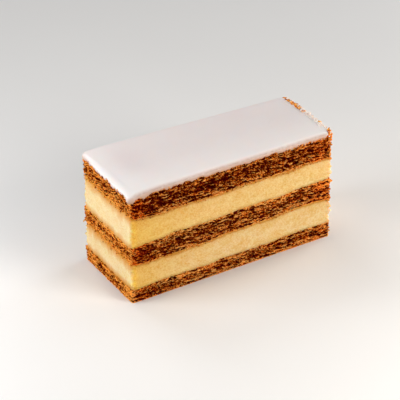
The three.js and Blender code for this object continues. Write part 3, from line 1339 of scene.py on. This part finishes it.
@dataclass
class CustardLayer:
    """One layer of set custard between two sheets of pastry."""

    name: str
    node: str
    low: Joint
    high: Joint
    seed: int
    columns: int = 700
    rows_up: int = 44
    setback: float = 0.28
    swell: float = 0.2
    swell_size: Sizes = (9.0, 9.0, 5.0)
    ripple: float = 0.12
    ripple_size: float = 1.5
    tooth: float = 0.09
    tooth_size: float = 0.6
    pit: float = 0.3
    pit_size: float = 0.8
    pit_wall: Range = (0.4, 0.62)
    chatter: float = 1.7  # at the upright corners
    chatter_size: Sizes = (3.0, 3.0, 0.9)
    chatter_reach: Range = (0.6, 2.2)
    overlap: float = 0.42  # how far it reaches behind the pastry's edges
    stain: float = 0.75  # stained and in painted shade under the upper sheet
    stain_and_shade_reach: float = 1.5
    stain_and_shade_varies: float = 0.8
    stain_and_shade_size: float = 4.0
    faint: float = 0.40  # the same, where it fades out further down
    faint_reach: float = 2.5
    seep_and_shade: float = 0.36  # stained and in painted shade above the lower sheet
    seep_and_shade_reach: float = 1.2
    end_soak_and_shade: Pair = (3.3, 5.8)  # how far its lower and upper edges are stained and in painted shade at the ends
    end_stain_and_shade: Pair = (0.9, 1.1)  # how much they are
    end_varies: float = 0.35
    end_size: float = 2.0
    right_light: float = 0.9  # painted rim light: how much of the ends' painted light the long faces take at their right
    right_reach: float = 1.5
    glow: Pair = (0.2, 0.9)  # painted glow at the right and the left of its long faces
    glow_reach: float = 29.0  # from the left end
    left_corner: float = 2.4
    lit_reach: float = 2.6  # of the painted highlight round the front left corner
    # The first mark is stained custard and painted shade; glow, end and corner carry painted light.
    marks: ClassVar[tuple[str, ...]] = ("stain", "glow", "end", "corner")

    def built(self, finish: bpy.types.Material) -> bpy.types.Object:
        """Build the layer.

        Args:
            finish: the custard's material.

        Returns:
            The layer.
        """
        far = 5.7 * self.seed
        levels = [i / self.rows_up for i in range(self.rows_up + 1)]
        rows = [(0.0, 4.0), (0.0, 1.2)] + [(level, 0.0) for level in levels] + [(1.0, 1.2), (1.0, 4.0)]

        def place(station: Station, row: int) -> Placed:
            """Shape one point.

            Args:
                station: its place on the outline.
                row: its row.

            Returns:
                Its place and its marks.
            """
            level, inset = rows[row]
            x = station.x * (1 - inset / (Plan.length / 2))
            y = station.y * (1 - inset / (Plan.width / 2))
            low = self.low.at(x, y) + EDGE.at(self.low, x, y) - self.overlap
            high = self.high.at(x, y) + EDGE.at(self.high, x, y) + self.overlap
            z = between(low, high, level)
            out = (
                -self.setback
                + self.swell * grained(x, y, z, self.swell_size, far)
                + self.ripple * grain(x / self.ripple_size, y / self.ripple_size, z / self.ripple_size + far)
                + self.tooth * grain(x / self.tooth_size, y / self.tooth_size, z / self.tooth_size + far)
            )
            pitted = grain(x / self.pit_size, y / self.pit_size, z / self.pit_size - far)
            out -= self.pit * eased(*self.pit_wall, pitted)
            half_width = Plan.width / 2 * Plan().narrowed(x)
            from_corner = math.hypot(Plan.length / 2 - abs(x), half_width - abs(y))
            at_corner = 1 - eased(*self.chatter_reach, from_corner)
            out += at_corner * self.chatter * grained(x, y, z, self.chatter_size, far)
            out += flared(station.out_x, z)
            if inset:
                return Vector((x, y, z)), (0.0, 0.0, 0.0, 0.0)
            end = station.out_x**2
            # Stained and in painted shade below the upper sheet and above the lower one, further at the
            # ends.
            varied = grain(x / self.stain_and_shade_size, y / self.stain_and_shade_size, far)
            reach = self.stain_and_shade_reach * (1 + self.stain_and_shade_varies * varied)
            below, over = max(0.0, high - self.overlap - z), max(0.0, z - low - self.overlap)
            varies = 1 + self.end_varies * grain(x / self.end_size, y / self.end_size, far)
            soak_and_shade_up, soak_and_shade_down = (soak * varies for soak in self.end_soak_and_shade)
            stain_and_shade_up, stain_and_shade_down = self.end_stain_and_shade
            under = self.stain * (1 - eased(-0.2, reach, below))
            under += self.faint * math.exp(-below / self.faint_reach)
            under = between(under, min(1.0, stain_and_shade_down * max(0.0, 1 - below / soak_and_shade_down)), end)
            above = self.seep_and_shade * (1 - eased(0.0, self.seep_and_shade_reach, over))
            above = between(above, stain_and_shade_up * max(0.0, 1 - over / soak_and_shade_up), end)
            # Painted light: a glow along the long faces, rim light at their right end and a highlight round
            # the front left corner.
            from_left = max(0.0, x + Plan.length / 2) / self.glow_reach
            glow = (1 - end) * between(*self.glow, math.exp(-(from_left**1.5)))
            at_right = self.right_light * math.exp((x - Plan.length / 2) / self.right_reach)
            corner = math.exp(-((math.hypot(x + Plan.length / 2, y + half_width) / self.lit_reach) ** 2))
            lit = min(1.0, glow + 0.5 * corner * (1 - end))
            marks = (max(under, above), lit, max(end, at_right), corner)
            return Vector((x + station.out_x * out, y + station.out_y * out, z)), marks

        plan = Plan(corners=(self.left_corner, 1.3, 1.3, self.left_corner))
        mesh = wrapped_skin(plan.stations(self.columns), len(rows), place, self.marks)
        return finished(self.name, mesh, finish, self.node, smooth=True)


@dataclass
class IcingCoat:
    """The poured fondant: a flat top, a soft rounded rim and a lip that hangs unevenly."""

    name: str = "icing_coat"
    node: str = "icing"
    columns: int = 1200
    overhang: float = 0.32
    stop: float = 53.5
    joins_crest: Range = (51.0, 53.0)  # where its side turns into the straight edge at the crest
    back_reach: Range = (4.0, 19.0)  # where the left end's look fades out towards the back
    over_crest: float = 1.1  # how far it runs over the crest along the front half
    crest_depth: float = 1.25  # of its edge at the crest
    crest_round: float = 0.9  # width of the rim there
    rim_drop: float = 1.0
    rim_drop_left: float = 0.6  # added to it at the left end
    rim_width: float = 1.0
    rim_width_front: float = 0.9  # added to it along the front
    rim_width_left: float = 2.8  # added to it at the left end
    rim_round: float = 1.3  # added to it beside the left corners
    rim_round_reach: float = 9.0
    chamfer: float = 0.15  # how flat its rim slopes, from round at 0 to straight at 1
    chamfer_front: float = 0.45  # added to it along the front
    seam: float = 0.5  # spacing of the points where the top's two halves meet
    bulge: float = 0.5  # how far the drips stand out
    painted_shade_patch: float = 0.5  # painted shade: how much duller the top is drawn where it sinks beside the left rim
    pool_x: float = -43.0
    pool_y: float = 3.0
    pool_size: Pair = (9.0, 14.0)
    painted_shade_back_right: float = 0.52  # painted shade: how much duller the top is drawn towards the back right
    painted_shade_along: Range = (0.0, 24.0)  # from the left end
    painted_shade_across: Range = (-4.0, 26.0)  # from the front
    thin_starts: Pair = (0.6, 0.3)  # how far up its side it blushes, where the pastry shows through and as painted shade, and what the front adds
    thin_stops: Pair = (1.7, 0.35)
    soak_fades: float = 1.4
    soak: float = 0.45  # share of its side that is browned by the pastry
    soak_front: float = 0.5  # added to it along the front
    fall_left: float = 1.15  # how far the top sinks towards the left end
    fall_left_reach: float = 20.0
    fall_front: float = 0.3
    fall_front_reach: float = 13.0
    lip: float = 0.8
    lip_left: float = 1.3  # how much further it hangs at the front half of the left end
    lip_varies: float = 1.25
    drips: tuple[tuple[float, float, float, float], ...] = (
        (-55.0, -22.8, 3.4, 0.9),
        (-55.0, 22.8, 3.0, 1.2),
    )  # places, widths and drops of the corner drips
    dish: float = 0.12
    dish_shore: Range = (2.0, 9.0)  # where the dished middle starts and how far in it is full
    lobes: tuple[tuple[float, float, float], ...] = (
        (-50.4, 2.6, 0.9),
        (-46.6, 1.9, 1.2),
        (-34.6, 1.6, 0.7),
        (-14.8, 1.3, 0.9),
        (8.0, 1.2, 0.5),
        (31.5, 3.2, 0.6),
        (40.6, 1.3, 0.9),
    )  # places along the front, widths and drops of the longest tongues
    # thin is partly painted shade and level is painted shade.
    marks: ClassVar[tuple[str, ...]] = ("thin", "level")

    def drop_at(self, x: float, y: float) -> float:
        """Return how far the lip hangs below the pastry's top edge.

        Args:
            x: place along the slice.
            y: place across the slice.

        Returns:
            The drop, which is 0 where the crest stands.
        """
        at_left = 1 - eased(0.0, 3.0, x + Plan.length / 2)
        at_right = eased(15.0, 35.0, x)
        ragged = grain(x / 4.5, y / 4.5, 3.3) + (0.9 + 0.9 * at_left) * grain(x / 1.7, y / 1.7, 6.1)
        ragged += (0.3 + 0.7 * at_left + 0.9 * at_right) * grain(x / 0.9, y / 0.9, 9.4)
        ragged += (0.35 + 0.75 * at_right) * grain(x / 0.42, y / 0.42, 7.7)
        drop = self.lip + self.lip_varies * ragged * 0.8
        drop += self.lip_left * at_left * (1 - eased(-10.0, 12.0, y))
        if y < 0:
            drop += sum(deep * math.exp(-(((x - middle) / wide) ** 4)) for middle, wide, deep in self.lobes)
        drop += self.drip_at(x, y)
        return max(drop, 0.1) * (1 - eased(*self.joins_crest, x))

    def drip_at(self, x: float, y: float) -> float:
        """Return how much further the lip hangs in a drip at a corner."""
        far = ((math.hypot(x - at_x, y - at_y) / wide, deep) for at_x, at_y, wide, deep in self.drips)
        return sum(deep * math.exp(-(share**4)) for share, deep in far)

    def surface_at(self, x: float, y: float) -> float:
        """Return the height of the coat's top at a place.

        Args:
            x: place along the slice.
            y: place across the slice.

        Returns:
            The height.
        """
        from_left = x + Plan.length / 2 + self.overhang
        from_side = (Plan.width / 2 + self.overhang) * Plan().narrowed(x) - abs(y)
        level = TOP_HEIGHT - 0.1 - 0.2 * eased(*self.joins_crest, x)
        sunk = self.fall_left * (1 - eased(0.0, self.fall_left_reach, from_left)) ** 2
        level -= sunk * (1 - 0.7 * eased(*self.back_reach, y))
        if y < 0:
            level -= self.fall_front * (1 - eased(0.0, self.fall_front_reach, from_side)) ** 2
        at_side, at_left = eased(*self.dish_shore, from_side), eased(*self.dish_shore, from_left)
        level -= self.dish * at_side * at_left * eased(*self.dish_shore, self.stop - x)
        return level + 0.05 * grain(x / 15, y / 15, 2.0) * (1 - eased(9.0, 15.0, from_side))

    def built(self, finish: bpy.types.Material) -> bpy.types.Object:
        """Build the coat.

        Args:
            finish: the fondant's material.

        Returns:
            The coat.
        """
        plan = Plan(
            left=-Plan.length / 2 - self.overhang,
            right=self.stop,
            width=Plan.width + 2 * self.overhang,
            corners=(2.1, 1.5, 2.0, 3.2),
        )
        hidden = [(-1.0, 3.0), (-0.6, 1.2)]
        side = [(i / 9, 0.0) for i in range(10)]
        bend = [(1.0 + i / 14, 0.0) for i in range(1, 15)]
        insets = (0.012, 0.03, 0.06, 0.1, 0.16, 0.23, 0.32, 0.42, 0.54, 0.68, 0.84, 1.0)
        flat = [(2.0, inset) for inset in insets]
        rows = hidden + side + bend + flat
        middle, half_length = (plan.left + plan.right) / 2, (plan.right - plan.left) / 2
        half_width = plan.width / 2

        def place(station: Station, row: int) -> Placed:
            """Shape one point.

            Args:
                station: its place on the outline.
                row: its row.

            Returns:
                Its place and its marks.
            """
            part, inset = rows[row]
            ends = eased(*self.joins_crest, station.x)
            slow, quick = grain(station.y / 2.6, 4.2, 0.0), grain(station.y / 0.9, 8.0, 0.0)
            wobble = ends * (0.75 * slow + 0.35 * quick)
            wobble += ends * self.over_crest * Crest.iced_at(station.y)
            drop = self.drop_at(station.x, station.y)
            joint = TOP_TO_ICING.at(station.x, station.y)
            low = between(joint - drop, TOP_HEIGHT - self.crest_depth, ends)
            from_left = station.x + Plan.length / 2
            near = 1 - 0.8 * eased(*self.back_reach, station.y)
            facing_left = near * max(0.0, -station.out_x)
            facing_front = max(0.0, -station.out_y)
            rim_width = self.rim_width + self.rim_width_front * facing_front
            rounded = near * self.rim_round * math.exp(-from_left / self.rim_round_reach)
            rim_width += max(self.rim_width_left * facing_left, rounded)
            rim_width = between(rim_width, self.crest_round, ends)
            high = self.surface_at(
                middle + (station.x - middle) * (1 - rim_width / half_length),
                station.y * (1 - rim_width / half_width),
            )
            rim_drop = min(self.rim_drop + self.rim_drop_left * facing_left, (high - joint + 0.1) * 0.9)
            out, z, inward = 0.0, low, 0.0
            if part < 0:
                inward = inset
                z = between(low + 0.12, joint + 0.05, min(1.0, inset / 2)) if ends < 0.5 else low
            elif part <= 1:
                z = between(low, high - rim_drop, part)
                out = 0.12 * math.sin(math.pi * min(1.0, part * 1.6)) - 0.5 * (1 - eased(0.0, 0.4, part))
            elif not inset:
                angle = (part - 1) * math.pi / 2
                chamfer = self.chamfer + self.chamfer_front * facing_front
                z = high - rim_drop * (1 - between(math.sin(angle), part - 1, chamfer))
                inward = rim_width * between(1 - math.cos(angle), part - 1, chamfer)
            else:
                inward = between(rim_width, half_width, inset)
            if part >= 0:
                out += self.bulge * self.drip_at(station.x, station.y) * (1 - eased(0.7, 1.8, part))
            x = station.x + station.out_x * (out + wobble)
            y = station.y + station.out_y * out
            if inward:
                x = middle + (x - middle) * (1 - inward / half_length)
                y = y * (1 - inward / half_width)
            if row == len(rows) - 1:
                seam = middle + (station.x - middle) * (1 - half_width / half_length)
                x, y = round(seam / self.seam) * self.seam, 0.0
            if part >= 2:
                z = self.surface_at(x, y)
            # Blush where the pastry shows through, and painted shade on the side below the crease.
            starts = self.thin_starts[0] + self.thin_starts[1] * facing_front
            stops = self.thin_stops[0] + self.thin_stops[1] * facing_front
            thin = 1 - eased(starts - 0.35 * facing_left, stops - 0.6 * facing_left, part)
            thin *= 1 - ends * 0.6
            soaked = self.soak + self.soak_front * facing_front
            soak = max(0.0, 1 - max(part, 0.0) / soaked) ** self.soak_fades
            front = (Plan.width / 2) * Plan().narrowed(x) + y
            # Painted shade on the top, towards the back right and in a patch beside the left rim.
            level = self.painted_shade_back_right * eased(*self.painted_shade_along, x + Plan.length / 2)
            level *= eased(*self.painted_shade_across, front)
            pool_length, pool_width = self.pool_size
            along, across = (x - self.pool_x) / pool_length, (y - self.pool_y) / pool_width
            level += self.painted_shade_patch * math.exp(-(along**2) - across**2)
            return Vector((x, y, z)), (thin + (1 - ends) * soak, level)

        mesh = wrapped_skin(plan.stations(self.columns), len(rows), place, self.marks)
        return finished(self.name, mesh, finish, self.node, smooth=True)


@dataclass
class LipCrumbs:
    """Crumbs caught in the icing's lip, most of them at the left end."""

    name: str = "lip_crumbs"
    count: int = 420
    at_left: float = 0.37  # share of them at the left end
    stands: Range = (0.1, 0.42)
    stray: Peaked = (-0.5, 0.75, 0.05)  # up from the lip's edge
    radius: Peaked = (0.12, 0.5, 0.22)
    tone: Range = (0.1, 0.9)
    marks: ClassVar[tuple[str, ...]] = PastrySheet.marks

    def built(self, finish: bpy.types.Material, coat: IcingCoat) -> bpy.types.Object:
        """Build the crumbs.

        Args:
            finish: the pastry's material.
            coat: the icing that they hang in.

        Returns:
            The crumbs, as one piece.
        """
        rng = random.Random(SEED + 90)
        mesh = loose_bits(self.marks)
        stations = [station for station in Plan().stations(1200) if station.x < 51.0]
        left = [station for station in stations if station.out_x < -0.7 and abs(station.y) < 19.0]
        sides = [station for station in stations if abs(station.out_y) > 0.9 and station.x > -50.0]
        for _ in range(self.count):
            station = rng.choice(left if rng.random() < self.at_left else sides)
            z = TOP_TO_ICING.at(station.x, station.y) - coat.drop_at(station.x, station.y)
            z += rng.triangular(*self.stray)
            stands = rng.uniform(*self.stands)
            add_crumb(
                mesh,
                Vector((station.x + station.out_x * stands, station.y + station.out_y * stands, z)),
                rng.triangular(*self.radius),
                rng,
                # The end mark gives them the ends' painted light.
                {"tone": rng.uniform(*self.tone), "end": station.out_x**2},
                detail=1,
            )
        bmesh.ops.recalc_face_normals(mesh, faces=mesh.faces)
        return finished(self.name, mesh, finish, None, smooth=False)


@dataclass
class CrestCrumbs:
    """Loose crumbs along the crest, some of them caught in the icing."""

    name: str = "crest_crumbs"
    count: int = 460
    at_corner: int = 60
    specks: float = 0.25  # share of the crumbs that are iced where the icing runs over them
    back_specks: float = 0.35  # the same where it stops short
    corner_specks: float = 0.22
    radius: Peaked = (0.16, 0.9, 0.3)
    corner_radius: Peaked = (0.2, 0.8, 0.35)
    corner_height: Peaked = (51.5, 58.4, 57.6)
    corner_x: Range = (53.2, 54.8)
    corner_y: Range = (-0.2, 0.9)  # from the front face
    marks: ClassVar[tuple[str, ...]] = PastrySheet.marks

    def built(self, finish: bpy.types.Material) -> bpy.types.Object:
        """Build the crumbs.

        Args:
            finish: the pastry's material.

        Returns:
            The crumbs, as one piece.
        """
        rng = random.Random(SEED + 70)
        mesh = loose_bits(self.marks)
        plan = Plan()
        half = plan.width / 2 * plan.narrowed(54.0)
        for _ in range(self.count):
            y = rng.triangular(-half + 0.3, half - 0.3, -4.0)
            iced = Crest.iced_at(y)
            x = rng.triangular(53.3 - 0.7 * iced, 55.1, 54.5)
            z = Crest.height_at(x, y) + rng.uniform(-0.2, 0.35 + 0.1 * iced)
            size = rng.triangular(*self.radius) * (1 + 0.25 * iced)
            specked = float(rng.random() < between(self.back_specks, self.specks, iced))
            glaze = min(1.0, max(specked, Crest.glaze_at(x, y) * 1.1 + rng.uniform(-0.35, 0.2)))
            add_crumb(
                mesh,
                Vector((x, y, z)),
                size,
                rng,
                # The end mark gives them the ends' painted light.
                {"glaze": glaze, "tone": rng.uniform(0.4, 1.2), "end": 1.0},
                detail=2 if size > 0.3 else 1,
            )
        for _ in range(self.at_corner):
            z = rng.triangular(*self.corner_height)
            add_crumb(
                mesh,
                Vector((rng.uniform(*self.corner_x), -half + rng.uniform(*self.corner_y), z)),
                rng.triangular(*self.corner_radius),
                rng,
                # They take the ends' painted light and some painted glow.
                {
                    "glaze": float(rng.random() < self.corner_specks),
                    "tone": rng.uniform(0.7, 1.3),
                    "end": 1.0,
                    "warm": 0.5,
                },
            )
        bmesh.ops.recalc_face_normals(mesh, faces=mesh.faces)
        return finished(self.name, mesh, finish, None, smooth=False)


# ---------------------------------------------------------------------------------------------
# Table, light and camera
# ---------------------------------------------------------------------------------------------


def direction(azimuth: float, elevation: float) -> Vector:
    """Return the way from the slice to something seen at those angles, in degrees."""
    turn, rise = math.radians(azimuth), math.radians(elevation)
    return Vector((math.sin(turn) * math.cos(rise), -math.cos(turn) * math.cos(rise), math.sin(rise)))


@dataclass(frozen=True)
class Softbox:
    """A square studio light that faces the slice."""

    name: str
    azimuth: float
    elevation: float
    distance: float
    size: float
    power: float
    colour: Colour = (1.0, 1.0, 1.0)
    mirrored: bool = True  # whether gloss shows it

    def hung(self, aim: Vector) -> None:
        """Hang the light.

        Args:
            aim: the point that it faces.
        """
        lamp = bpy.data.lights.new(self.name, "AREA")
        lamp.shape = "SQUARE"
        lamp.size = self.size
        lamp.energy = self.power
        lamp.color = self.colour
        way = direction(self.azimuth, self.elevation)
        thing = bpy.data.objects.new(self.name, lamp)
        thing.location = aim + way * self.distance
        thing.rotation_mode = "QUATERNION"
        thing.rotation_quaternion = (-way).to_track_quat("-Z", "Y")
        thing.visible_camera = False
        thing.visible_glossy = self.mirrored
        bpy.context.scene.collection.objects.link(thing)


@dataclass
class Studio:
    """The pale table, the soft lights and the camera."""

    table_radius: float = 3.0
    ambient: float = 0.06
    lens: float = 180.0
    sensor: float = 36.0
    azimuth: float = -30.83
    elevation: float = 31.15
    distance: float = 0.9412
    aim: tuple[float, float, float] = (-0.00517, 0.0, 0.02867)
    lights: tuple[Softbox, ...] = (
        Softbox("left light", -100, 24, 0.34, 0.2, 0.85, mirrored=False),
        Softbox("left back light", -172, 42, 0.8, 0.35, 1.5),
        Softbox("front light", 25, 26, 0.45, 0.24, 1.7, (1.0, 0.95, 0.88)),
        Softbox("right back light", 100, 6, 0.8, 0.3, 4.5),
        Softbox("top light", 104, 64, 0.9, 0.34, 0.5),
    )

    def set_up(self) -> None:
        """Lay the table, hang the lights and place the camera."""
        scene = bpy.context.scene
        mesh = bmesh.new()
        bmesh.ops.create_circle(mesh, cap_ends=True, segments=96, radius=self.table_radius)
        data = bpy.data.meshes.new("table")
        mesh.to_mesh(data)
        mesh.free()
        data.materials.append(TableFinish().made())
        table = bpy.data.objects.new("table", data)
        scene.collection.objects.link(table)
        world = bpy.data.worlds.new("studio")
        world.use_nodes = True
        background = world.node_tree.nodes["Background"]
        background.inputs["Color"].default_value = (1.0, 0.985, 0.965, 1.0)
        background.inputs["Strength"].default_value = self.ambient
        scene.world = world
        aim = Vector(self.aim)
        for light in self.lights:
            light.hung(aim)
        camera_data = bpy.data.cameras.new("camera")
        camera_data.lens = self.lens
        camera_data.sensor_width = self.sensor
        camera = bpy.data.objects.new("camera", camera_data)
        way = direction(self.azimuth, self.elevation)
        camera.location = aim + way * self.distance
        camera.rotation_mode = "QUATERNION"
        camera.rotation_quaternion = (-way).to_track_quat("-Z", "Y")
        scene.collection.objects.link(camera)
        scene.camera = camera
        scene.view_settings.view_transform = "Standard"
        scene.view_settings.look = "None"
        LOG.info("studio: %d lights", len(self.lights))


def main() -> None:
    """Build the slice and its studio."""
    logging.basicConfig(level=logging.INFO, format="%(name)s %(message)s")
    pastry = PastryFinish().made()
    custard = CustardFinish().made()
    layers = (
        PastrySheet(
            "bottom_pastry",
            "pastry_bottom",
            BASE,
            BOTTOM_TO_LOWER,
            1,
            left_corner_painted_highlight=1.8,
            painted_glow_left=0.45,
            painted_glow_right=0.45,
        ),
        PastrySheet(
            "middle_pastry",
            "pastry_middle",
            LOWER_TO_MIDDLE,
            MIDDLE_TO_UPPER,
            2,
            core=0.53,
            core_depth=0.45,
            left_corner_painted_highlight=1.2,
            left_shade=0.45,
            end_flakes=((-18.6, 0.86, 1.5), (-17.0, 0.3, 0.9), (-19.4, 0.12, 0.7)),
        ),
        PastrySheet(
            "top_pastry",
            "pastry_top",
            UPPER_TO_TOP,
            TOP_TO_ICING,
            3,
            columns=812,
            # Painted shade on the long faces of the top sheet.
            painted_long_face_light=-0.2,
            core=0.55,
            core_spread=0.2,
            core_depth=0.5,
            right_corner_painted_highlight=1.3,
            left_corner_painted_highlight=0.5,
            left_shade=0.25,
            heart=0.03,
            end_flakes=((-18.8, 0.5, 0.9), (-17.5, 0.75, 0.8)),
            crest=True,
        ),
    )
    for layer in layers:
        layer.built(pastry)
    lower = CustardLayer(
        "lower_custard",
        "custard_lower",
        BOTTOM_TO_LOWER,
        LOWER_TO_MIDDLE,
        4,
        glow=(0.0, 0.8),
        glow_reach=24.0,
    )
    lower.built(custard)
    CustardLayer("upper_custard", "custard_upper", MIDDLE_TO_UPPER, UPPER_TO_TOP, 5).built(custard)
    coat = IcingCoat()
    coat.built(FondantFinish().made())
    LipCrumbs().built(pastry, coat)
    CrestCrumbs().built(pastry)
    Studio().set_up()


if __name__ == "__main__":
    main()
